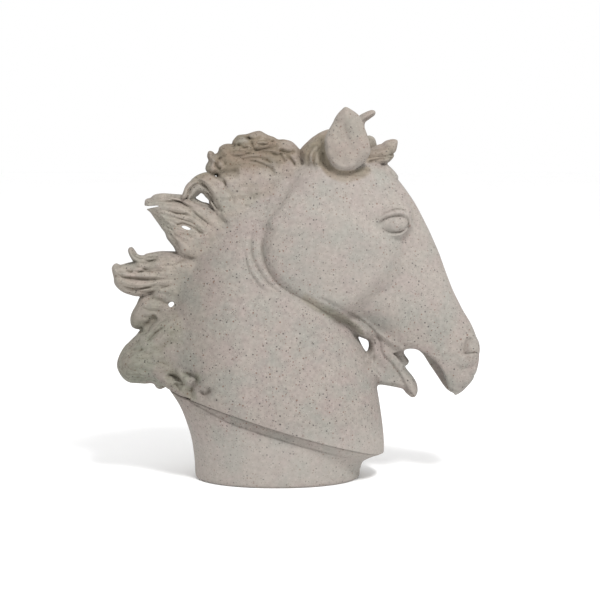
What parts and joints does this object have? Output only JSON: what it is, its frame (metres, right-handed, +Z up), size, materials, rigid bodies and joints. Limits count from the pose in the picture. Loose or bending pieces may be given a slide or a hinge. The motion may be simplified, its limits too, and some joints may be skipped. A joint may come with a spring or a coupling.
{
  "type": "giant chess knight",
  "caption": "Cast stone horse head chess knight with open mouth and windblown mane on an oval plinth, with a screwed base plate and a filler cap for ballast.",
  "frame": {"origin": "centre of the underside of the oval base mat, on the surface that the piece stands on", "axes": "+X the way the horse faces, +Y the horse's left side, +Z up"},
  "size_m": [0.4181, 0.1432, 0.4223],
  "materials": {
    "cast_stone": "speckled matt cast stone",
    "base_plastic": "moulded matt black",
    "screw_steel": "plain zinc",
    "cap_plastic": "moulded matt grey",
    "sand": "dry sand",
    "mat_rubber": "fine matt"
  },
  "bodies": {
    "casting": {"plinth": "cast_stone", "neck_shell": "cast_stone", "head_shell": "cast_stone", "lower_jaw": "cast_stone", "tongue": "cast_stone", "right_ear": "cast_stone", "left_ear": "cast_stone", "forelock_centre": "cast_stone", "forelock_side": "cast_stone", "poll_tuft": "cast_stone", "crest_tuft_front": "cast_stone", "crest_tuft_middle": "cast_stone", "crest_tuft_rear": "cast_stone", "crest_tuft_low": "cast_stone", "mane_arch_lock": "cast_stone", "mane_wind_lock": "cast_stone", "mane_hanging_lock": "cast_stone", "mane_whisk_lock": "cast_stone", "mane_fan_lock": "cast_stone", "mane_lobe_lock": "cast_stone", "mane_fall_lock": "cast_stone", "nape_curl_back": "cast_stone", "nape_curl_middle": "cast_stone", "nape_curl_front": "cast_stone", "base_plate": "base_plastic", "base_screw_1": "screw_steel", "base_screw_2": "screw_steel", "base_screw_3": "screw_steel", "base_screw_4": "screw_steel", "sand_ballast": "sand", "base_mat": "mat_rubber"},
    "filler_cap": {"filler_cap": "cap_plastic"}
  },
  "joints": [
    {"name": "filler_cap_turn", "type": "hinge", "parent": "casting", "child": "filler_cap", "pos_m": [-0.042, 0, 0.003], "axis": [0, 0, 1], "range_deg": [0, 90]}
  ]
}
